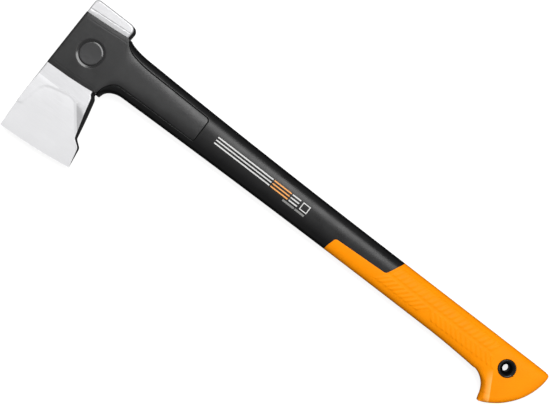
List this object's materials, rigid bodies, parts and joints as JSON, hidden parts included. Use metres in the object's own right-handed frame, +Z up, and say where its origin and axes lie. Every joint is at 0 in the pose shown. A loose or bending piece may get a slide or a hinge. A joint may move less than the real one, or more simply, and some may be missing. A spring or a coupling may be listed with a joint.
{
  "type": "splitting axe",
  "caption": "Short splitting axe: a steel wedge head in a moulded jacket, a hollow composite handle, and a soft grip with a hooked butt and a lanyard eyelet.",
  "frame": {"origin": "bottom centre of the whole axe's box, as it lies on its right cheek", "axes": "+X along the handle from the head to the butt, +Y from the cutting edge to the poll, +Z up through the thickness"},
  "size_m": [0.6351, 0.172, 0.03],
  "materials": {
    "steel": "satin",
    "jacket": "matte",
    "pin": "satin",
    "shaft": "satin",
    "core": "matte",
    "grip": "matte",
    "eyelet": "gloss"
  },
  "bodies": {
    "root": {"axe_head": "steel", "jacket_left": "jacket", "jacket_right": "jacket", "plug_cap_left": "jacket", "plug_cap_right": "jacket", "cross_pin": "pin", "shaft_shell": "shaft", "butt_plug": "core", "grip_sleeve": "grip", "lanyard_bush": "eyelet"}
  },
  "joints": []
}
